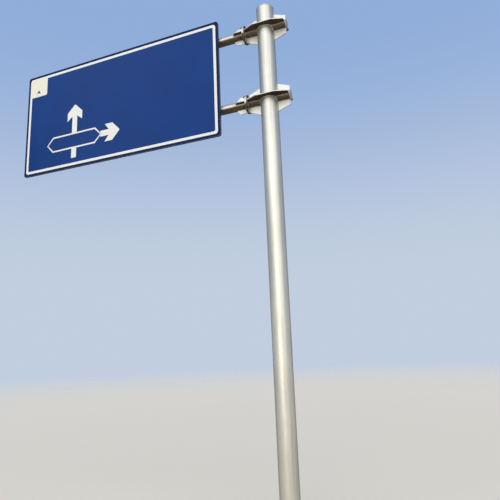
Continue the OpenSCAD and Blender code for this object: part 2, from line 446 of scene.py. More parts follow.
@dataclass(frozen=True)
class Finish:
    """A named surface finish. Each kind says in paint how its colour and relief are made."""

    name: str
    metallic: float = 0.0
    gloss: float = 0.5
    rough: Span = (0.4, 0.5)
    depth: float = 0.0001

    def paint(self, graph: Graph) -> dict[str, Value]:
        """Mixes the finish and returns the Principled shader's inputs by name."""
        raise NotImplementedError

    def surface(self, graph: Graph, colour: Socket, rough: Socket, height: Socket,
                normal: Socket | None = None) -> dict[str, Value]:
        """Puts the parts of a finish together.

        Args:
            graph: The material's tree.
            colour: The mixed colour.
            rough: The mixed roughness.
            height: The relief, from 0 to 1.
            normal: A direction that the relief stands on, where it isn't the surface's own.

        Returns:
            The Principled shader's inputs by name.
        """
        return {
            "Base Color": colour,
            "Metallic": self.metallic,
            "Roughness": rough,
            "Specular IOR Level": self.gloss,
            "Normal": graph.relief(height, self.depth, normal),
        }

    def material(self) -> bpy.types.Material:
        """Makes the material, or finds it where it is made already.

        Returns:
            The finish's material.
        """
        made = bpy.data.materials.get(self.name)
        if made:
            return made
        material, graph, shader = new_material(self.name)
        graph.feed(shader, self.paint(graph))
        return material


@dataclass(frozen=True)
class Galvanised(Finish):
    """Hot-dip zinc on steel: spangle, cloudy tone, rain streaks and rubbed edges, with painted
    shade in dark brown on faces that look down.
    """

    metallic: float = 0.85
    gloss: float = 0.2
    rough: Span = (0.35, 0.45)
    depth: float = 0.00006
    pale: Colour = (0.70, 0.67, 0.585)
    grey: Colour = (0.61, 0.59, 0.52)
    stain: Colour = (0.30, 0.285, 0.25)
    # Painted shade: the dark brown laid on faces that look down, and how far round it reaches
    underside_shade: Colour = (0.092, 0.066, 0.046)
    graze: Colour = (0.08, 0.07, 0.06)
    crystal: float = 0.014
    crystal_share: float = 0.5
    streaks: float = 0.5
    streak_stain: float = 0.55
    streak_rough: float = 0.12
    dust_stain: float = 0.16
    shade_reach: float = -0.42
    edge: float = 0.0025
    edge_rub: float = 0.5

    def paint(self, graph: Graph) -> dict[str, Value]:
        """Mixes crystal tones, then weather and the painted shade underneath, then bright edges.

        Args:
            graph: The material's tree.

        Returns:
            The Principled shader's inputs by name.
        """
        zinc = SPANGLE.put(graph, Crystal=self.crystal)
        marks = WEATHER.put(graph, Streaks=self.streaks, Reach=self.shade_reach)
        worn = EDGE_WEAR.put(graph, Radius=self.edge)
        tone = graph.mixed(zinc["Tone"], self.crystal_share, marks["Patches"])
        colour = graph.blend(tone, self.grey, self.pale)
        colour = graph.coat(colour, self.stain, marks["Streaks"], self.streak_stain)
        colour = graph.coat(colour, self.stain, marks["Dust"], self.dust_stain)
        # Painted shade: faces that look down are darkened towards dark brown
        colour = graph.blend(marks["PaintedUndersideShade"], colour, self.underside_shade)
        colour = graph.coat(colour, self.pale, worn["Mask"], self.edge_rub)
        rough = graph.between(zinc["Gloss"], *self.rough)
        rough = graph.math("ADD", rough, graph.times(marks["Streaks"], self.streak_rough))
        look = self.surface(graph, colour, rough, zinc["Height"], worn["Normal"])
        return look | {"Specular Tint": self.graze}


@dataclass(frozen=True)
class WeldMetal(Finish):
    """Zinc-coated weld metal, with duller valleys between its ripples."""

    metallic: float = 0.5
    rough: Span = (0.38, 0.58)
    depth: float = 0.0003
    crest: Colour = (0.58, 0.58, 0.57)
    valley: Colour = (0.30, 0.29, 0.27)
    fine_scale: float = 180.0
    broad_scale: float = 14.0
    tones: Span = (0.34, 0.62)
    grain: Span = (0.2, 0.8)

    def paint(self, graph: Graph) -> dict[str, Value]:
        """Mixes two tones by fine and broad noise.

        Args:
            graph: The material's tree.

        Returns:
            The Principled shader's inputs by name.
        """
        fine = graph.noise(graph.place, self.fine_scale, roughness=0.6)
        both = graph.math("ADD", fine, graph.noise(graph.place, self.broad_scale))
        tone = graph.remap(graph.times(both, 0.5), *self.tones)
        colour = graph.blend(tone, self.valley, self.crest)
        return self.surface(graph, colour, graph.remap(fine, *self.grain, *self.rough), fine)


@dataclass(frozen=True)
class DarkOxide(Finish):
    """Dull black oxide on bolts, thin and browned where weather has worked on it."""

    gloss: float = 0.2
    rough: Span = (0.5, 0.75)
    depth: float = 0.00015
    black: Colour = (0.010, 0.009, 0.008)
    brown: Colour = (0.040, 0.026, 0.017)
    bright: Colour = (0.13, 0.12, 0.11)
    browned: float = 0.5
    patch_scale: float = 70.0
    patches: Span = (0.48, 0.72)
    edge: float = 0.0009
    edge_rub: float = 0.45

    def paint(self, graph: Graph) -> dict[str, Value]:
        """Mixes black with brown patches and bright edges.

        Args:
            graph: The material's tree.

        Returns:
            The Principled shader's inputs by name.
        """
        patches = graph.noise(graph.place, self.patch_scale, detail=4.0, roughness=0.65)
        patches = graph.remap(patches, *self.patches)
        worn = EDGE_WEAR.put(graph, Radius=self.edge)
        colour = graph.coat(self.black, self.brown, patches, self.browned)
        colour = graph.coat(colour, self.bright, worn["Mask"], self.edge_rub)
        rough = graph.between(patches, *self.rough)
        return self.surface(graph, colour, rough, patches, worn["Normal"])


@dataclass(frozen=True)
class PlatedZinc(Finish):
    """Bright zinc on straps, saddles and small bolts, with white bloom."""

    metallic: float = 0.7
    rough: Span = (0.3, 0.62)
    depth: float = 0.0001
    zinc: Colour = (0.50, 0.51, 0.53)
    bloom: Colour = (0.70, 0.70, 0.68)
    dull: Colour = (0.30, 0.29, 0.27)
    bloomed: float = 0.6
    bloom_scale: float = 32.0
    blooms: Span = (0.46, 0.72)
    streaks: float = 0.6
    edge: float = 0.0015
    edge_rub: float = 0.5

    def paint(self, graph: Graph) -> dict[str, Value]:
        """Mixes plated metal with bloom, streaks and rubbed edges.

        Args:
            graph: The material's tree.

        Returns:
            The Principled shader's inputs by name.
        """
        bloom = graph.noise(graph.place, self.bloom_scale, detail=4.0, roughness=0.7)
        bloom = graph.remap(bloom, *self.blooms)
        marks = WEATHER.put(graph, Streaks=self.streaks)
        worn = EDGE_WEAR.put(graph, Radius=self.edge)
        colour = graph.coat(self.zinc, self.bloom, bloom, self.bloomed)
        colour = graph.coat(colour, self.dull, marks["Streaks"], self.streaks)
        colour = graph.coat(colour, self.bloom, worn["Mask"], self.edge_rub)
        rough = graph.between(bloom, *self.rough)
        return self.surface(graph, colour, rough, bloom, worn["Normal"])


@dataclass(frozen=True)
class MillAluminium(Finish):
    """Aluminium as it comes from the press or the mill, with lines along its length."""

    metallic: float = 0.75
    rough: Span = (0.36, 0.5)
    depth: float = 0.00005
    pale: Colour = (0.74, 0.75, 0.77)
    grey: Colour = (0.60, 0.61, 0.63)
    dull: Colour = (0.34, 0.34, 0.34)
    grain: tuple[float, float, float] = (420.0, 420.0, 3.0)
    grain_share: float = 0.7
    grain_depth: Span = (0.25, 0.75)
    tones: Span = (0.2, 0.8)
    streaks: float = 0.5
    streak_stain: float = 0.3
    edge: float = 0.001

    def metal(self, graph: Graph) -> tuple[Socket, Socket, Socket]:
        """Mixes the bare metal.

        Args:
            graph: The material's tree.

        Returns:
            The metal's colour, its roughness and its relief.
        """
        lines = graph.streaky(graph.place, self.grain, roughness=0.6)
        marks = WEATHER.put(graph, Streaks=self.streaks)
        tone = graph.mixed(lines, self.grain_share, marks["Patches"])
        colour = graph.blend(graph.remap(tone, *self.tones), self.grey, self.pale)
        colour = graph.coat(colour, self.dull, marks["Streaks"], self.streak_stain)
        return colour, graph.remap(lines, *self.grain_depth, *self.rough), lines

    def paint(self, graph: Graph) -> dict[str, Value]:
        """Mixes the metal and rounds its edges."""
        worn = EDGE_WEAR.put(graph, Radius=self.edge)
        return self.surface(graph, *self.metal(graph), worn["Normal"])


@dataclass(frozen=True)
class FacedSheet(MillAluminium):
    """Aluminium sheet with coloured reflective film on the side that looks towards -Y."""

    gloss: float = 0.11
    depth: float = 0.00008
    film: Colour = (0.0050, 0.050, 0.268)
    deep: Colour = (0.0040, 0.043, 0.230)
    film_rough: Span = (0.16, 0.22)
    cell: float = 0.0045
    cell_shade: float = 0.22
    front: Span = (-0.75, -0.55)

    def paint(self, graph: Graph) -> dict[str, Value]:
        """Puts film on the face and leaves bare metal behind and on the cut edges.

        Args:
            graph: The material's tree.

        Returns:
            The Principled shader's inputs by name.
        """
        metal, metal_rough, _ = self.metal(graph)
        cells = FILM_CELLS.put(graph, Cell=self.cell)
        back = graph.remap(graph.split(graph.facing())[1], *self.front)
        film = graph.blend(cells["Cloud"], self.deep, self.film)
        film = graph.coat(film, self.deep, cells["Lines"], self.cell_shade)
        film_rough = graph.between(cells["Cloud"], *self.film_rough)
        rough = graph.between(back, film_rough, metal_rough)
        look = self.surface(graph, graph.blend(back, film, metal), rough, cells["Height"])
        return look | {"Metallic": graph.times(back, self.metallic)}


@dataclass(frozen=True)
class Film(Finish):
    """Reflective film of one colour, cut to a shape and laid on the sign's face."""

    gloss: float = 0.13
    rough: Span = (0.17, 0.24)
    depth: float = 0.00008
    colour: Colour = (0.95, 0.98, 1.0)
    shade: Colour = (0.85, 0.89, 0.94)
    cell: float = 0.0045
    cell_shade: float = 0.5
    cloud_shade: float = 0.3
    slot: Slot = Slot.WHITE

    def paint(self, graph: Graph) -> dict[str, Value]:
        """Mixes the film's colour with its cells and a faint cloud.

        Args:
            graph: The material's tree.

        Returns:
            The Principled shader's inputs by name.
        """
        cells = FILM_CELLS.put(graph, Cell=self.cell)
        colour = graph.coat(self.colour, self.shade, cells["Lines"], self.cell_shade)
        dull = graph.math("SUBTRACT", 1.0, cells["Cloud"])
        colour = graph.coat(colour, self.shade, dull, self.cloud_shade)
        rough = graph.between(cells["Cloud"], *self.rough)
        return self.surface(graph, colour, rough, cells["Height"])


# Every galvanised finish paints shade in dark brown on faces that look down
HOT_DIP_PIPE = Galvanised("hot_dip_pipe")
# For the stub under the side plates: painted shade reaching nearly up to its sides
SHADE_PAINTED_PIPE = Galvanised("shade_painted_pipe", shade_reach=-0.08)
HOT_DIP_PLATE = Galvanised("hot_dip_plate", pale=(0.70, 0.68, 0.62), grey=(0.625, 0.61, 0.56),
                           crystal=0.009, streaks=0.6, rough=(0.38, 0.50))
WELD_METAL = WeldMetal("weld_metal")
DARK_OXIDE = DarkOxide("dark_oxide")
PLATED_ZINC = PlatedZinc("plated_zinc")
EXTRUDED = MillAluminium("extruded_aluminium")
FACED_SHEET = FacedSheet("faced_sheet", grain=(3.0, 400.0, 420.0))
WHITE_FILM = Film("white_film")
CREAM_FILM = Film("cream_film", colour=(0.96, 0.95, 0.88), shade=(0.87, 0.86, 0.79))
EDGE_FILM = Film("edge_film", colour=(0.013, 0.026, 0.103), shade=(0.010, 0.021, 0.082),
                 gloss=0.03, slot=Slot.BLUE)
BLACK_FILM = Film("black_film", colour=(0.020, 0.020, 0.022), shade=(0.012, 0.012, 0.014))


def dress(finish: Finish, *nodes: str) -> None:
    """Gives a finish to nodes of the frame.

    Args:
        finish: The finish for every material slot of each node.
        *nodes: Names of the frame's nodes.
    """
    for name in nodes:
        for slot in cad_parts[name].material_slots:
            slot.material = finish.material()


# Mesh work


def around(count: int) -> list[float]:
    """Returns the angles of evenly spaced points round a whole turn."""
    return [TURN * i / count for i in range(count)]


def turned(along: float, radius: float, angle: float) -> Vector:
    """Returns a point at an angle round the X axis."""
    return Vector((along, radius * math.cos(angle), radius * math.sin(angle)))


def chord(radius: float, offset: float) -> float:
    """Returns how far a circle reaches at an offset beside its middle."""
    return math.sqrt(radius**2 - offset**2)


def along_axis(origin: Vector, axis: Vector, turn: float = 0.0) -> Matrix:
    """Returns a place whose local X axis lies along a direction, with a turn about it."""
    rotation = axis.to_track_quat("X", "Z").to_matrix().to_4x4()
    return Matrix.Translation(origin) @ rotation @ Matrix.Rotation(turn, 4, "X")


def put_in_scene(name: str, data: bpy.types.ID) -> bpy.types.Object:
    """Makes an object and links it to the scene.

    Args:
        name: The object's name.
        data: Its mesh, lamp or camera.

    Returns:
        The new object.
    """
    made = bpy.data.objects.new(name, data)
    bpy.context.scene.collection.objects.link(made)
    return made


@dataclass
class Shape:
    """Points and faces of one added piece, collected and then made into an object."""

    name: str
    points: list[Vector] = field(default_factory=list)
    faces: list[tuple[int, ...]] = field(default_factory=list)
    hexagon_segments = 48
    hexagon_round = 0.97
    chamfer_slope = math.tan(math.radians(30))

    def ring(self, points: Sequence[Vector]) -> list[int]:
        """Adds a row of points.

        Args:
            points: The points in order.

        Returns:
            Their numbers.
        """
        first = len(self.points)
        self.points.extend(points)
        return list(range(first, len(self.points)))

    def band(self, low: Sequence[int], high: Sequence[int]) -> None:
        """Joins two closed rows with four-sided faces.

        Args:
            low: Point numbers of the first row.
            high: Point numbers of the second row, as many.
        """
        for i in range(len(low)):
            j = (i + 1) % len(low)
            self.faces.append((low[i], low[j], high[j], high[i]))

    def cap(self, row: Sequence[int]) -> None:
        """Closes a row of points with one flat face."""
        self.faces.append(tuple(row))

    def skin(self, rows: Sequence[Sequence[int]], closed: bool = False) -> None:
        """Joins rows of points into one closed form.

        Args:
            rows: The rows, all with as many points.
            closed: Whether the last row joins the first; otherwise both are capped.
        """
        for low, high in zip(rows, rows[1:]):
            self.band(low, high)
        if closed:
            self.band(rows[-1], rows[0])
            return
        self.cap(rows[0])
        self.cap(rows[-1])

    def lathe(self, profile: Sequence[Spot], place: Matrix, segments: int) -> None:
        """Turns pairs of distance and radius round the local X axis and closes both ends."""
        self.skin([self.ring([place @ turned(along, radius, a) for a in around(segments)])
                   for along, radius in profile])

    def hexagon(self, width: float, start: float, end: float, place: Matrix,
                end_chamfer: bool = True) -> None:
        """Adds a hexagon bar along the local X axis with the curved chamfers of a real nut.

        Args:
            width: Width across the flats.
            start: Where the bar starts along the axis, with a chamfer.
            end: Where it ends.
            place: Where the bar goes.
            end_chamfer: Whether its end is chamfered too.
        """
        flat = width / 2
        inner = flat * self.hexagon_round
        angles = around(self.hexagon_segments)
        outline = [flat / math.cos(a % (math.pi / 3) - math.pi / 6) for a in angles]
        drops = [(r - inner) * self.chamfer_slope for r in outline]
        circle, starts, ends = ([value] * len(angles) for value in (inner, start, end))
        rows = [(starts, circle), ([start + drop for drop in drops], outline)]
        if end_chamfer:
            rows += [([end - drop for drop in drops], outline), (ends, circle)]
        else:
            rows.append((ends, outline))
        self.skin([self.ring([place @ turned(*spot) for spot in zip(alongs, radii, angles)])
                   for alongs, radii in rows])

    def box(self, low: Vector, high: Vector, chamfer: float, place: Matrix) -> None:
        """Adds a bar along the local X axis with chamfered long edges.

        Args:
            low: Its lowest corner.
            high: Its highest corner.
            chamfer: Width of the chamfers.
            place: Where the bar goes.
        """
        outline = []
        corners = ((low.y, low.z, 1, 1), (high.y, low.z, -1, 1),
                   (high.y, high.z, -1, -1), (low.y, high.z, 1, -1))
        for i, (y, z, dy, dz) in enumerate(corners):
            ends = [(y, z + dz * chamfer), (y + dy * chamfer, z)]
            outline.extend(ends if i % 2 == 0 else ends[::-1])
        self.skin([self.ring([place @ Vector((x, y, z)) for y, z in outline])
                   for x in (low.x, high.x)])

    def build(self, finish: Finish, slot: Slot, replaces: Sequence[str] = (),
              sharp: float = 35.0) -> None:
        """Makes the object and lets it ride on the gantry's body.

        Args:
            finish: The piece's finish.
            slot: A material slot of the record; not used.
            replaces: Nodes of the frame that it stands for.
            sharp: Edges that turn by more degrees than this stay sharp.
        """
        mesh = bpy.data.meshes.new(self.name)
        mesh.from_pydata(self.points, [], self.faces)
        mesh.validate()
        form = bmesh.new()
        form.from_mesh(mesh)
        bmesh.ops.recalc_face_normals(form, faces=form.faces)
        form.to_mesh(mesh)
        form.free()
        mesh.shade_smooth()
        mesh.set_sharp_from_angle(angle=math.radians(sharp))
        mesh.materials.append(finish.material())
        piece = put_in_scene(self.name, mesh)
        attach(piece, BODY)
        if replaces:
            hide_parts(*replaces)
        LOG.info("%s: %d faces", self.name, len(mesh.polygons))


# Welds

# One sample of a seam: a point, and the directions of the two surfaces that meet there
Corner = tuple[Vector, Vector, Vector]

SEAM_STEP = 0.0024


@dataclass(frozen=True)
class Seam:
    """The line of one weld, sampled from one end to the other."""

    corners: Sequence[Corner]
    kind: SeamKind = SeamKind.FILLET
    closed: bool = False

    @classmethod
    def traced(cls, length: float, corner: Callable[[float], Corner],
               kind: SeamKind = SeamKind.FILLET, closed: bool = False) -> "Seam":
        """Samples a seam evenly.

        Args:
            length: The seam's length.
            corner: Gives the corner at a share of the way, from 0 to 1.
            kind: The seam's cross-section.
            closed: Whether its end is its start.

        Returns:
            The sampled seam.
        """
        steps = max(4, round(length / SEAM_STEP))
        last = steps if closed else steps - 1
        return cls([corner(i / last) for i in range(steps)], kind, closed)

    @classmethod
    def straight(cls, start: Vector, end: Vector, first: Vector, second: Vector) -> "Seam":
        """Makes a straight seam between two points, in a corner of two surfaces."""
        return cls.traced((end - start).length, lambda t: (start.lerp(end, t), first, second))

    @classmethod
    def arc(cls, centre: Vector, axis: Vector, radius: float, span: Span, along: Vector,
            kind: SeamKind = SeamKind.FILLET) -> "Seam":
        """Makes a round seam where a pipe meets a flat face, or where a cap closes it.

        Args:
            centre: The arc's centre.
            axis: The X or Z axis that it goes round.
            radius: The pipe's outside radius.
            span: First and last angle, in radians.
            along: Direction along the pipe, away from the face.
            kind: The seam's cross-section.

        Returns:
            The seam, closed where the span is a whole turn.
        """
        across = (X_AXIS, Y_AXIS) if axis is Z_AXIS else (Y_AXIS, Z_AXIS)
        turn = span[1] - span[0]

        def corner(share: float) -> Corner:
            """Works out one corner.

            Args:
                share: Share of the way along the arc.

            Returns:
                The corner.
            """
            a = span[0] + turn * share
            out = across[0] * math.cos(a) + across[1] * math.sin(a)
            faces = (along, out) if kind is SeamKind.BUTT else (out, along)
            return centre + out * radius, *faces

        return cls.traced(radius * turn, corner, kind, closed=span == (0.0, TURN))

    @classmethod
    def cap_ring(cls, centre: Vector, axis: Vector, radius: float) -> "Seam":
        """Makes the closed seam round the plate that caps a pipe."""
        return cls.arc(centre, axis, radius, (0.0, TURN), axis, SeamKind.BUTT)


@dataclass
class Bead:
    """Weld metal laid along seams, with the crescent ripples of each pass."""

    leg: float = 0.007
    pitch: float = 0.0095
    ripple: float = 0.10
    crescent: float = 1.9
    sink: float = 0.0006
    butt_half: float = 0.8
    butt_rise: float = 0.36
    wander: float = 0.16
    wander_scale: float = 45.0
    arc_steps: int = 4

    def section(self, kind: SeamKind, way: float, scale: float) -> list[Spot]:
        """Works out the bead's outline at one point of a seam.

        Args:
            kind: The seam's cross-section.
            way: Distance along the seam.
            scale: The bead's size there, about 1.

        Returns:
            Pairs of distances along the two surfaces, starting inside the metal.
        """
        butt = kind is SeamKind.BUTT
        outline = [(0.0, -2 * self.sink) if butt else (-self.sink, -self.sink)]
        for i in range(self.arc_steps + 1):
            bow = QUARTER * i / self.arc_steps
            phase = TURN * way / self.pitch - self.crescent * math.sin(2 * bow)
            size = self.leg * scale * (1 + self.ripple * math.cos(phase))
            starts, ends = self.sink * (i == 0), self.sink * (i == self.arc_steps)
            if butt:
                outline.append((math.cos(2 * bow) * size * self.butt_half,
                                math.sin(2 * bow) * size * self.butt_rise - starts - ends))
            else:
                full = 0.5 + 0.5 / (math.cos(bow) + math.sin(bow))
                outline.append((math.cos(bow) * size * full - ends,
                                math.sin(bow) * size * full - starts))
        return outline

    def lay(self, shape: Shape, seam: Seam) -> None:
        """Adds the bead of one seam to a shape.

        Args:
            shape: The piece that takes the bead.
            seam: The seam to fill.
        """
        rows = []
        way = 0.0
        previous = seam.corners[0][0]
        for point, first, second in seam.corners:
            way += (point - previous).length
            previous = point
            scale = 1 + self.wander * noise.noise(point * self.wander_scale)
            rows.append(shape.ring([point + first * u + second * v
                                    for u, v in self.section(seam.kind, way, scale)]))
        shape.skin(rows, seam.closed)


def weld(name: str, seams: Sequence[Seam], leg: float) -> None:
    """Lays beads along seams and makes them one piece.

    Args:
        name: The piece's name.
        seams: The seams to fill.
        leg: The bead's leg.
    """
    shape = Shape(name)
    for seam in seams:
        Bead(leg).lay(shape, seam)
    shape.build(WELD_METAL, Slot.STEEL, sharp=80.0)


# Sub-assemblies


def low_corner(node: str) -> Vector:
    """Returns the lowest corner of a node's box."""
    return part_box(node)[0]


def high_corner(node: str) -> Vector:
    """Returns the highest corner of a node's box."""
    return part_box(node)[1]


@dataclass
class Base:
    """The base plate and the ribs between it and the column."""

    plate_t: float = high_corner("base_plate").z
    plate_r: float = high_corner("base_plate").x
    column_r: float = high_corner("column").x
    rib_top: float = high_corner("base_ribs").z
    rib_toe: float = 0.020
    rib_t: float = 0.012
    rib_count: int = 8
    weld_leg: float = 0.008

    def rib_seams(self, angle: float, half: float) -> list[Seam]:
        """Works out the seams on both sides of one rib.

        Args:
            angle: The rib's direction.
            half: Half the angle that the rib takes up on the column.

        Returns:
            The seams on the plate and up the column.
        """
        foot = Z_AXIS * self.plate_t
        out = Vector((math.cos(angle), math.sin(angle), 0.0))
        seams = []
        for side in SIDES:
            across = Vector((-out.y, out.x, 0.0)) * side
            inner = out * self.column_r * math.cos(half) + across * self.rib_t / 2 + foot
            outer = out * (self.plate_r - self.rib_toe) + across * self.rib_t / 2 + foot
            top = inner + Z_AXIS * (self.rib_top - self.plate_t)
            seams += [Seam.straight(inner, outer, across, Z_AXIS),
                      Seam.straight(inner, top, across, out)]
        return seams

    def seams(self) -> list[Seam]:
        """Works out the seams round the column and on both sides of every rib.

        Returns:
            The base's seams.
        """
        half = math.asin(self.rib_t / 2 / self.column_r)
        pitch = TURN / self.rib_count
        seams = []
        for i in range(self.rib_count):
            angle = TURN * (i + 0.5) / self.rib_count
            span = (angle + half, angle + pitch - half)
            seams.append(Seam.arc(Z_AXIS * self.plate_t, Z_AXIS, self.column_r, span, Z_AXIS))
            seams += self.rib_seams(angle, half)
        return seams

    def build(self) -> None:
        """Dresses the base and lays its welds."""
        dress(HOT_DIP_PLATE, "base_plate", "base_ribs")
        weld("base_welds", self.seams(), self.weld_leg)


@dataclass
class Column:
    """The column's pipe and its cap plate."""

    radius: float = high_corner("column").x
    cap_low: float = low_corner("column_cap").z
    weld_leg: float = 0.007

    def build(self) -> None:
        """Dresses the column and closes its cap with a weld."""
        dress(HOT_DIP_PIPE, "column")
        dress(HOT_DIP_PLATE, "column_cap")
        ring = Seam.cap_ring(Z_AXIS * self.cap_low, Z_AXIS, self.radius)
        weld("column_cap_weld", [ring], self.weld_leg)


@dataclass
class ThreadedBolt:
    """A hexagon bolt with washers and a nut, drawn along the local X axis.

    The ratios are shares of the bolt's diameter, apart from those of the thread, which are
    shares of its radius and its pitch, and of the washer's edge, a share of its thickness.
    """

    diameter: float
    hex_ratio: float = 1.5
    head_ratio: float = 0.63
    nut_ratio: float = 0.9
    washer_ratio: float = 1.85
    washer_t_ratio: float = 0.17
    washer_edge_ratio: float = 0.18
    washer_segments: int = 40
    thread_end: float = 0.014
    thread_inside: float = 0.001
    pitch_ratio: float = 0.14
    root_ratio: float = 0.86
    tip_ratio: float = 0.74
    cone_ratio: float = 0.3
    segments: int = 28

    @property
    def radius(self) -> float:
        """Radius of the shank."""
        return self.diameter / 2

    @property
    def head_t(self) -> float:
        """Thickness of the head."""
        return self.head_ratio * self.diameter

    @property
    def washer_t(self) -> float:
        """Thickness of a washer."""
        return self.washer_t_ratio * self.diameter

    def washer(self, shape: Shape, start: float, end: float, place: Matrix) -> None:
        """Adds a washer with broken edges.

        Args:
            shape: The piece that takes it.
            start: Where it starts along the axis.
            end: Where it ends.
            place: The bolt's place.
        """
        radius = self.washer_ratio * self.diameter / 2
        edge = self.washer_t * self.washer_edge_ratio
        profile = ((start, radius - edge), (start + edge, radius),
                   (end - edge, radius), (end, radius - edge))
        shape.lathe(profile, place, self.washer_segments)

    def thread(self, shape: Shape, start: float, end: float, place: Matrix) -> None:
        """Adds the ridges of a thread that ends in a small cone.

        Args:
            shape: The piece that takes it.
            start: Where it starts along the axis.
            end: Where it ends.
            place: The bolt's place.
        """
        root = self.radius * self.root_ratio
        pitch = self.pitch_ratio * self.diameter
        profile = [(start, root)]
        along = start
        while along + pitch < end:
            profile += [(along + pitch * 0.5, self.radius), (along + pitch, root)]
            along += pitch
        profile += [(end - pitch * self.cone_ratio, root), (end, self.radius * self.tip_ratio)]
        shape.lathe(profile, place, self.segments)

    def nut_side(self, shape: Shape, face: float, place: Matrix) -> None:
        """Adds a washer, a nut and the thread's end on a face.

        Args:
            shape: The piece that takes them.
            face: The face's place along the axis.
            place: The bolt's place.
        """
        nut_at = face + self.washer_t
        nut_end = nut_at + self.nut_ratio * self.diameter
        self.washer(shape, face, nut_at, place)
        shape.hexagon(self.hex_ratio * self.diameter, nut_at, nut_end, place)
        self.thread(shape, nut_end - self.thread_inside, nut_end + self.thread_end, place)

    def head_side(self, shape: Shape, face: float, place: Matrix) -> None:
        """Adds a washer and a hexagon head before a face.

        Args:
            shape: The piece that takes them.
            face: The face's place along the axis.
            place: The bolt's place.
        """
        head_end = face - self.washer_t
        width = self.hex_ratio * self.diameter
        self.washer(shape, head_end, face, place)
        shape.hexagon(width, head_end - self.head_t, head_end, place, end_chamfer=False)
        shape.lathe(((head_end, self.radius), (face, self.radius)), place, self.segments)


@dataclass
class LevelPart:
    """A sub-assembly that stands at each level, on a pipe along the X axis."""

    level: Level
    pipe = "arm"

    def __post_init__(self) -> None:
        """Reads the pipe's axis and radius from the frame."""
        low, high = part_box(self.node(self.pipe))
        self.axis_z = (low.z + high.z) / 2
        self.radius = (high.z - low.z) / 2
        self.centre = Z_AXIS * self.axis_z

    def node(self, piece: str) -> str:
        """Returns the full name of one of this level's nodes."""
        return f"{self.level.value}_{piece}"

    def low(self, piece: str) -> Vector:
        """Returns the lowest corner of one of this level's nodes."""
        return low_corner(self.node(piece))

    def high(self, piece: str) -> Vector:
        """Returns the highest corner of one of this level's nodes."""
        return high_corner(self.node(piece))

    def chance(self, seeds: dict[Level, int]) -> random.Random:
        """Returns this level's own source of random turns."""
        return random.Random(seeds[self.level])

    def quadrants(self, plate_t: float) -> list[Span]:
        """Returns the four spans of angle round the pipe between plates of a thickness."""
        half = math.asin(plate_t / 2 / self.radius)
        return [(QUARTER * i + half, QUARTER * (i + 1) - half) for i in range(4)]


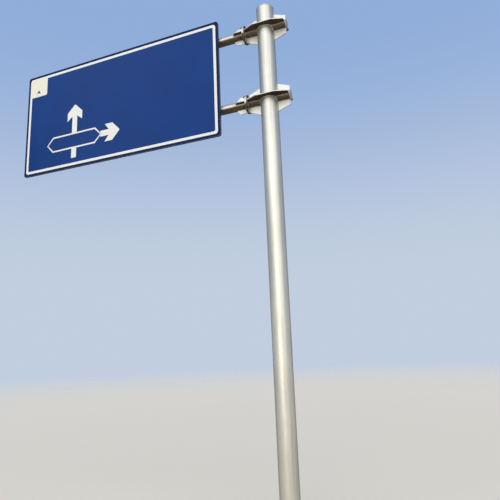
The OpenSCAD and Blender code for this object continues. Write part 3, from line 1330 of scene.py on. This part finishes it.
@dataclass
class ColumnJoint(LevelPart):
    """One joint of the column: stub with its cap, flange, side plates, web plates and bolts."""

    pipe = "stub"
    plate_t: float = 0.012
    bolt: ThreadedBolt = field(default_factory=lambda: ThreadedBolt(0.020))
    bolt_circle: float = 0.246
    weld_leg: float = 0.0065
    weld_back: float = 0.001
    web_weld_inset: float = 0.002
    rim_weld_inset: float = 0.004
    collar_gap: float = 0.02
    saddle_stretch: float = 1.05

    def __post_init__(self) -> None:
        """Reads the joint's places from the frame."""
        super().__post_init__()
        self.column_r = high_corner("column").x
        self.near = self.high("column_flange").x
        self.far = self.high("web_plates").x
        self.web_half = self.high("web_plates").z - self.axis_z
        self.rim_half = self.high("arm_ribs").y

    def saddle(self, side: int, span: Span) -> Seam:
        """Works out the curved seam where the stub enters the column.

        Args:
            side: -1 for the arm's side of the column, 1 for the far side.
            span: First and last angle round the stub.

        Returns:
            The seam.
        """
        turn = span[1] - span[0]

        def corner(share: float) -> Corner:
            """Works out one corner.

            Args:
                share: Share of the way round the stub.

            Returns:
                The corner.
            """
            angle = span[0] + turn * share
            y, z = self.radius * math.cos(angle), self.radius * math.sin(angle)
            x = side * chord(self.column_r, y)
            outward = turned(0.0, 1.0, angle)
            normal = Vector((x, y, 0.0)).normalized()
            on_column = (outward - normal * outward.dot(normal)).normalized()
            return self.centre + Vector((x, y, z)), on_column, X_AXIS * side

        return Seam.traced(self.radius * turn * self.saddle_stretch, corner)

    def plate_seams(self, out: Vector, face: Vector) -> list[Seam]:
        """Works out the seams on one face of a plate that stands out from the stub.

        Args:
            out: The plate's direction from the stub's axis, along Y or Z.
            face: Direction that this face of the plate looks in.

        Returns:
            The seams along the stub, on the flange and, on an upright plate, on the column.
        """
        shift = face * self.plate_t / 2
        rise = chord(self.radius, self.plate_t / 2)
        upright = abs(out.z) > 0.5

        def at(along: float, height: float) -> Vector:
            """Gives a point on this face of the plate."""
            return self.centre + X_AXIS * along + out * height + shift

        seams = []
        for side, end in zip(SIDES, (self.near, self.far)):
            wall = side * chord(self.column_r, self.plate_t / 2 if upright else rise)
            if upright:
                top = at(wall, self.web_half - self.web_weld_inset)
                seams.append(Seam.straight(at(wall, rise), top, face, X_AXIS * side))
            seams.append(Seam.straight(at(wall, rise), at(end, rise), face, out))
        rim = at(self.near, self.rim_half - self.rim_weld_inset)
        seams.append(Seam.straight(at(self.near, rise), rim, face, X_AXIS))
        return seams

    def collar(self, front: int, face: int) -> Seam:
        """Works out the seam where a side plate lies round the column.

        Args:
            front: -1 for the plate towards the sign's face, 1 for the one behind.
            face: 1 for the plate's upper face, -1 for its lower face.

        Returns:
            The seam.
        """
        skip = math.asin(self.radius / self.column_r) + self.collar_gap
        span = (skip, math.pi - skip) if front > 0 else (math.pi + skip, TURN - skip)
        centre = self.centre + Z_AXIS * face * self.plate_t / 2
        return Seam.arc(centre, Z_AXIS, self.column_r, span, Z_AXIS * face)

    def seams(self) -> list[Seam]:
        """Works out all seams of the joint's column side.

        Returns:
            The joint's seams.
        """
        flange = self.centre + X_AXIS * self.near
        seams = []
        for span in self.quadrants(self.plate_t):
            seams += [self.saddle(side, span) for side in SIDES]
            seams.append(Seam.arc(flange, X_AXIS, self.radius, span, X_AXIS))
        for sign in SIDES:
            for face in SIDES:
                seams += self.plate_seams(Z_AXIS * sign, Y_AXIS * face)
                seams += self.plate_seams(Y_AXIS * sign, Z_AXIS * face)
                seams.append(self.collar(sign, face))
        cap = self.centre + X_AXIS * (self.low("stub_cap").x - self.weld_back)
        return seams + [Seam.cap_ring(cap, X_AXIS, self.radius)]

    def build_bolts(self) -> None:
        """Makes the four flange bolts, each turned a little differently in its hole."""
        chance = self.chance({Level.LOWER: 11, Level.UPPER: 23})
        shape = Shape(self.node("flange_bolt_set"))
        for i in range(4):
            out = turned(0.0, 1.0, QUARTER * (i + 0.5)) * self.bolt_circle / 2
            place = along_axis(self.centre + out, -X_AXIS, chance.uniform(0, TURN))
            self.bolt.head_side(shape, -self.near, place)
            self.bolt.nut_side(shape, -self.low("arm_flange").x, place)
        shape.build(DARK_OXIDE, Slot.BLACK, [self.node("flange_bolts")])

    def build(self) -> None:
        """Dresses the joint, lays its welds and makes its bolts."""
        # The stub takes the finish whose painted shade reaches furthest round it
        dress(SHADE_PAINTED_PIPE, self.node("stub"))
        plates = ("column_flange", "side_plates", "web_plates", "stub_cap")
        dress(HOT_DIP_PLATE, *map(self.node, plates))
        weld(self.node("joint_welds"), self.seams(), self.weld_leg)
        self.build_bolts()


@dataclass
class Arm(LevelPart):
    """One arm: pipe, flange, ribs and the cap that closes its end."""

    rib_t: float = 0.010
    weld_leg: float = 0.006
    rim_weld_inset: float = 0.002

    def seams(self) -> list[Seam]:
        """Works out the seams of the flange, the ribs and the cap.

        Returns:
            The arm's seams.
        """
        ribs_low, ribs_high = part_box(self.node("arm_ribs"))
        root = self.centre + X_AXIS * ribs_high.x
        rise = chord(self.radius, self.rib_t / 2)
        seams = []
        for i, span in enumerate(self.quadrants(self.rib_t)):
            seams.append(Seam.arc(root, X_AXIS, self.radius, span, -X_AXIS))
            out = Y_AXIS * math.cos(QUARTER * i) + Z_AXIS * math.sin(QUARTER * i)
            for side in SIDES:
                face = X_AXIS.cross(out) * side
                shift = face * self.rib_t / 2
                start = root + out * rise + shift
                tip = start + X_AXIS * (ribs_low.x - ribs_high.x)
                rim = root + out * (ribs_high.y - self.rim_weld_inset) + shift
                seams += [Seam.straight(start, tip, face, out),
                          Seam.straight(start, rim, face, -X_AXIS)]
        cap = self.centre + X_AXIS * self.high("arm_cap").x
        return seams + [Seam.cap_ring(cap, X_AXIS, self.radius)]

    def build(self) -> None:
        """Dresses the arm and lays its welds."""
        dress(HOT_DIP_PIPE, self.node("arm"))
        dress(HOT_DIP_PLATE, *map(self.node, ("arm_flange", "arm_ribs", "arm_cap")))
        weld(self.node("arm_welds"), self.seams(), self.weld_leg)


@dataclass(frozen=True)
class Channels:
    """The upright channels behind the sign."""

    count: int = 7
    foot_half: float = 0.050
    wall: float = 0.004

    def middles(self) -> list[float]:
        """Works out where the channels stand.

        Returns:
            The X of each channel's middle, from the far one to the near one.
        """
        low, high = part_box("rear_channels")
        pitch = (high.x - low.x - 2 * self.foot_half) / (self.count - 1)
        return [low.x + self.foot_half + pitch * i for i in range(self.count)]


CHANNELS = Channels()


@dataclass
class Fixings(LevelPart):
    """The saddles, hoops and hoop bolts that hold the sign's channels on one arm."""

    bolt: ThreadedBolt = field(default_factory=lambda: ThreadedBolt(0.012))
    strap_t: float = 0.005
    head_half: float = 0.017
    head_chamfer: float = 0.001
    shank_segments: int = 24

    def places(self) -> list[Vector]:
        """Works out where the nuts sit on the hoops' ears.

        Returns:
            The middle of each nut's seat.
        """
        low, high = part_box(self.node("hoops"))
        seat = self.high("saddles").y + self.strap_t
        rise = (self.radius + self.strap_t + (high.z - low.z) / 2) / 2
        middle = (low.z + high.z) / 2
        return [Vector((x, seat, middle + side * rise))
                for x in CHANNELS.middles() for side in SIDES]

    def build(self) -> None:
        """Dresses the straps and makes the detailed hoop bolts."""
        dress(PLATED_ZINC, self.node("saddles"), self.node("hoops"))
        chance = self.chance({Level.LOWER: 37, Level.UPPER: 41})
        lip = self.low("saddles").y - CHANNELS.wall
        head_t, radius = self.bolt.head_t, self.bolt.radius
        shape = Shape(self.node("hoop_bolt_set"))
        for point in self.places():
            place = along_axis(point, Y_AXIS, chance.uniform(0, TURN))
            self.bolt.nut_side(shape, 0.0, place)
            shank = ((lip - point.y - head_t / 2, radius), (0.0, radius))
            shape.lathe(shank, place, self.shank_segments)
            shape.box(Vector((-self.head_half, -head_t, -radius)),
                      Vector((self.head_half, 0.0, radius)), self.head_chamfer,
                      Matrix.Translation(Vector((point.x, lip, point.z))))
        shape.build(PLATED_ZINC, Slot.ZINC, [self.node("hoop_bolts")])


# The sign. Places on its face are measured from its top left corner, to the right and down.


def rounded(low: Spot, high: Spot, radius: float, steps: int = 8) -> list[Spot]:
    """Draws a rectangle with rounded corners.

    Args:
        low: Its left and top.
        high: Its right and bottom.
        radius: Corner radius.
        steps: Steps of each corner.

    Returns:
        The rectangle's outline.
    """
    centres = ((high[0] - radius, high[1] - radius), (low[0] + radius, high[1] - radius),
               (low[0] + radius, low[1] + radius), (high[0] - radius, low[1] + radius))
    outline = []
    for quarter, (x, y) in enumerate(centres):
        for i in range(steps + 1):
            a = QUARTER * (quarter + i / steps)
            outline.append((x + radius * math.cos(a), y + radius * math.sin(a)))
    return outline


@dataclass
class Arrow:
    """An arrow of white film: a broad head with swept wings on a straight shaft."""

    half_width: float = 0.162
    tip_half: float = 0.010
    shoulder: float = 0.145
    wing: float = 0.302
    neck: float = 0.220
    shaft_half: float = 0.054

    def outline(self, tip: Spot, length: float, heading: Heading) -> list[Spot]:
        """Draws the arrow.

        Args:
            tip: The tip's place.
            length: Length from the tip to the shaft's end.
            heading: The way it points.

        Returns:
            The arrow's outline.
        """
        half = [(0.0, self.tip_half), (self.shoulder, self.half_width),
                (self.wing, self.half_width), (self.neck, self.shaft_half),
                (length, self.shaft_half)]
        points = half + [(back, -side) for back, side in reversed(half)]
        if heading is Heading.RIGHT:
            return [(tip[0] - back, tip[1] + side) for back, side in points]
        return [(tip[0] - side, tip[1] + back) for back, side in points]


@dataclass
class Cartouche:
    """The pointed outline that the up arrow crosses."""

    left: float = 0.651
    right: float = 1.589
    top: float = 1.342
    bottom: float = 1.637
    middle: float = 1.489
    point: float = 0.133
    line_w: float = 0.028
    corner_ratio: float = 0.45
    point_ratio: float = 1.36

    def outline(self, inset: float) -> list[Spot]:
        """Draws its six corners.

        Args:
            inset: How far the outline is moved inwards.

        Returns:
            The outline.
        """
        cut = inset * self.corner_ratio
        point = self.point - inset * self.point_ratio + cut
        left, right = self.left + cut, self.right - cut
        top, bottom = self.top + inset, self.bottom - inset
        return [(self.left - point, self.middle), (left, bottom), (right, bottom),
                (self.right + point, self.middle), (right, top), (left, top)]


@dataclass
class Decal:
    """A flat shape of film on the sign's face, with an optional hole in it."""

    name: str
    outline: Sequence[Spot]
    finish: Film = WHITE_FILM
    hole: Sequence[Spot] = ()
    lift: float = 0.0006

    def rows(self, shape: Shape, corner: Vector, points: Sequence[Spot]) -> list[list[int]]:
        """Adds an outline on the sheet and again on top of the film, and returns both rows."""
        return [shape.ring([Vector((corner.x + x, corner.y - lift, corner.z - y))
                            for x, y in points]) for lift in (0.0, self.lift)]

    def build(self, corner: Vector) -> None:
        """Makes the film and lays it on the sign.

        Args:
            corner: The top left corner of the sign's face.
        """
        shape = Shape(self.name)
        low, high = self.rows(shape, corner, self.outline)
        shape.band(low, high)
        if self.hole:
            hole_low, hole_high = self.rows(shape, corner, self.hole)
            shape.band(hole_high, hole_low)
            shape.band(high, hole_high)
            shape.band(hole_low, low)
        else:
            shape.cap(high)
            shape.cap(low)
        shape.build(self.finish, self.finish.slot)


@dataclass
class Board:
    """The sign: faced sheet, folded edges, rear channels with rivets, and the film shapes."""

    corner_r: float = 0.040
    border_inset: float = 0.044
    border_w: float = 0.046
    border_r: float = 0.050
    border_inner_r: float = 0.028
    arrow: Arrow = field(default_factory=Arrow)
    cartouche: Cartouche = field(default_factory=Cartouche)
    up_tip: Spot = (1.131, 0.801)
    right_tip: Spot = (2.099, 1.489)
    right_length: float = 0.395
    arrow_lap: float = 0.002
    tail_end: float = 1.818
    panel_low: Spot = (0.070, 0.070)
    panel_high: Spot = (0.451, 0.431)
    panel_r: float = 0.030
    panel_lift: float = 0.0010
    pointer_tip: Spot = (0.248, 0.296)
    pointer_half: float = 0.048
    pointer_h: float = 0.080
    pointer_notch: float = 0.056
    pointer_lift: float = 0.0014
    rivet_pitch: float = 0.150
    rivet_offset: float = 0.0365
    rivet_r: float = 0.0055
    rivet_dome: tuple[Spot, ...] = ((0.0, 1.0), (0.4, 0.92), (0.62, 0.6), (0.72, 0.2))
    rivet_segments: int = 16

    def __post_init__(self) -> None:
        """Reads the sheet's box from the frame."""
        self.low, self.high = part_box("board_sheet")

    def frame_line(self, inset: float, radius: float) -> list[Spot]:
        """Returns a rounded outline at a distance from the sheet's edge."""
        width, height = self.high.x - self.low.x, self.high.z - self.low.z
        return rounded((inset, inset), (width - inset, height - inset), radius)

    def borders(self) -> list[Decal]:
        """Draws the dark band along the sign's edge and the white line inside it.

        Returns:
            The two film shapes.
        """
        edge = self.frame_line(0.0, self.corner_r)
        outer = self.frame_line(self.border_inset, self.border_r)
        inner = self.frame_line(self.border_inset + self.border_w, self.border_inner_r)
        return [Decal("edge_band", edge, EDGE_FILM, outer),
                Decal("border_line", outer, hole=inner)]

    def arrows(self) -> list[Decal]:
        """Draws the outline, the up arrow that it crosses and the arrow to the right.

        Returns:
            The film shapes.
        """
        sign = self.cartouche
        x, y = self.up_tip
        half = self.arrow.shaft_half
        tail_top = sign.bottom - self.arrow_lap
        up_length = sign.top + self.arrow_lap - y
        tail = [(x + half, tail_top), (x + half, self.tail_end),
                (x - half, self.tail_end), (x - half, tail_top)]
        right = self.arrow.outline(self.right_tip, self.right_length, Heading.RIGHT)
        return [Decal("cartouche_line", sign.outline(0.0), hole=sign.outline(sign.line_w)),
                Decal("up_arrow", self.arrow.outline(self.up_tip, up_length, Heading.UP)),
                Decal("up_arrow_tail", tail),
                Decal("right_arrow", right)]

    def corner(self) -> list[Decal]:
        """Draws the pale panel in the corner with a plain pointer.

        Returns:
            The two film shapes.
        """
        x, y = self.pointer_tip
        foot = y + self.pointer_h
        pointer = [self.pointer_tip, (x + self.pointer_half, foot),
                   (x, y + self.pointer_notch), (x - self.pointer_half, foot)]
        panel = rounded(self.panel_low, self.panel_high, self.panel_r)
        return [Decal("corner_panel", panel, CREAM_FILM, lift=self.panel_lift),
                Decal("corner_pointer", pointer, BLACK_FILM, lift=self.pointer_lift)]

    def build_rivets(self) -> None:
        """Makes the rivet heads on the channels' feet."""
        low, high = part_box("rear_channels")
        face = self.high.y + CHANNELS.wall
        steps = round((high.z - low.z - self.rivet_pitch) / self.rivet_pitch)
        start = (low.z + high.z - steps * self.rivet_pitch) / 2
        dome = [(up * self.rivet_r, out * self.rivet_r) for up, out in self.rivet_dome]
        shape = Shape("channel_rivets")
        for middle in CHANNELS.middles():
            for row in range(steps + 1):
                for side in SIDES:
                    x = middle + side * self.rivet_offset
                    point = Vector((x, face, start + row * self.rivet_pitch))
                    shape.lathe(dome, along_axis(point, Y_AXIS), self.rivet_segments)
        shape.build(EXTRUDED, Slot.ALUMINIUM)

    def build(self) -> None:
        """Dresses the sign, lays its film and sets its rivets."""
        dress(FACED_SHEET, "board_sheet")
        edges = ("top", "bottom", "near", "far")
        # Painted shade: the folded edges, aluminium on the real sign, take the dark navy film of
        # the edge band
        dress(EDGE_FILM, *(f"board_{edge}_edge" for edge in edges))
        dress(EXTRUDED, "rear_channels")
        corner = Vector((self.low.x, self.low.y, self.high.z))
        for decal in self.borders() + self.arrows() + self.corner():
            decal.build(corner)
        self.build_rivets()


# Studio


@dataclass(frozen=True)
class Lamp:
    """A distant soft lamp: its direction from the gantry, and its angular size in degrees."""

    name: str
    towards: tuple[float, float, float]
    strength: float
    spread: float
    tint: Colour = (1.0, 0.955, 0.84)

    def build(self) -> None:
        """Adds the lamp to the scene."""
        data = bpy.data.lights.new(self.name, "SUN")
        data.energy = self.strength
        data.angle = math.radians(self.spread)
        data.color = self.tint
        lamp = put_in_scene(self.name, data)
        lamp.rotation_euler = Vector(self.towards).to_track_quat("Z", "Y").to_euler()


LAMPS = (
    Lamp("key", (0.12, -0.88, 0.44), 0.10, 24.0),
    Lamp("low_key", (0.05, -0.99, 0.02), 0.42, 16.0, tint=(1.0, 0.91, 0.68)),
    Lamp("soft_box", (0.22, -0.88, 0.42), 2.36, 106.0),
    Lamp("back_fill", (-0.10, 0.80, 0.60), 0.25, 70.0, tint=(0.95, 0.97, 1.0)),
)


@dataclass
class Studio:
    """The camera, the lamps, the floor and the pale surround."""

    eye: Vector = field(default_factory=lambda: Vector((2.119, -6.457, 2.231)))
    yaw: float = 21.448
    pitch: float = 11.69
    roll: float = -2.296
    lens: float = 34.83
    sensor: float = 36.0
    far_clip: float = 500.0
    horizon: Colour = (0.54, 0.62, 0.74)
    zenith: Colour = (0.28, 0.42, 0.70)
    rising: Span = (0.12, 0.60)
    ambient: Colour = (0.20, 0.23, 0.28)
    floor_seen: Colour = (0.78, 0.745, 0.69)
    floor_bounce: Colour = (0.17, 0.145, 0.115)
    floor_glow: float = 0.22
    floor_rough: float = 0.9
    floor_r: float = 60.0
    floor_fade: Span = (58.0, 16.0)
    floor_segments: int = 96
    floor_drop: float = 0.0005

    def camera(self) -> None:
        """Sets up the camera at the photograph's angle."""
        y, p, r = (math.radians(angle) for angle in (self.yaw, self.pitch, self.roll))
        ahead = Vector((-math.sin(y) * math.cos(p), math.cos(y) * math.cos(p), math.sin(p)))
        level = Vector((math.cos(y), math.sin(y), 0.0))
        upright = level.cross(ahead)
        right = level * math.cos(r) + upright * math.sin(r)
        above = upright * math.cos(r) - level * math.sin(r)
        place = Matrix((right, above, -ahead)).transposed().to_4x4()
        place.translation = self.eye
        data = bpy.data.cameras.new("camera")
        data.sensor_width = self.sensor
        data.lens = self.lens
        data.clip_end = self.far_clip
        camera = put_in_scene("camera", data)
        camera.matrix_world = place
        bpy.context.scene.camera = camera

    def seen(self, graph: Graph) -> Socket:
        """Finds the rays that show the surround: to the eye, in metal and in glass.

        Args:
            graph: The tree of the world or the floor.

        Returns:
            1 for those rays and 0 for others.
        """
        path = graph.add("LightPath").outputs
        shown = graph.math("MAXIMUM", path["Is Camera Ray"], path["Is Glossy Ray"])
        return graph.math("MAXIMUM", shown, path["Is Transmission Ray"])

    def world(self) -> None:
        """Makes the surround: a pale graded backdrop where it is seen, plain light elsewhere."""
        world = bpy.data.worlds.new("studio")
        world.use_nodes = True
        bpy.context.scene.world = world
        graph = Graph(world.node_tree)
        up = graph.split(graph.add("TexCoord").outputs["Generated"])[2]
        backdrop = graph.blend(graph.remap(up, *self.rising), self.horizon, self.zenith)
        colour = graph.blend(self.seen(graph), self.ambient, backdrop)
        background = world.node_tree.nodes["Background"]
        graph.feed(background, {"Color": colour, "Strength": 1.0})

    def floor(self) -> None:
        """Makes the pale floor, which fades into the surround far away."""
        material, graph, shader = new_material("studio_floor")
        seen = self.seen(graph)
        colour = graph.blend(seen, self.floor_bounce, self.floor_seen)
        far = graph.add("VectorMath", {0: graph.place}, operation="LENGTH").outputs["Value"]
        graph.feed(shader, {
            "Base Color": colour,
            "Roughness": self.floor_rough,
            "Emission Strength": self.floor_glow,
            "Emission Color": graph.blend(seen, (0.0, 0.0, 0.0), colour),
            "Alpha": graph.remap(far, *self.floor_fade),
        })
        rim = [Vector((math.cos(a), math.sin(a), 0.0)) * self.floor_r
               for a in around(self.floor_segments)]
        mesh = bpy.data.meshes.new("floor")
        mesh.from_pydata(rim, [], [tuple(range(len(rim)))])
        mesh.materials.append(material)
        floor = put_in_scene("floor", mesh)
        floor.location.z = -self.floor_drop

    def build(self) -> None:
        """Sets up the whole studio."""
        self.camera()
        for lamp in LAMPS:
            lamp.build()
        self.world()
        self.floor()
        bpy.context.scene.view_settings.view_transform = "Standard"


def main() -> None:
    """Builds the studio and every sub-assembly, from the ground up."""
    logging.basicConfig(level=logging.INFO, format="%(message)s")
    parts = [Studio(), Base(), Column()]
    for level in Level:
        parts += [ColumnJoint(level), Arm(level), Fixings(level)]
    parts.append(Board())
    for part in parts:
        part.build()
        LOG.info("built %s", type(part).__name__)


if __name__ == "__main__":
    main()
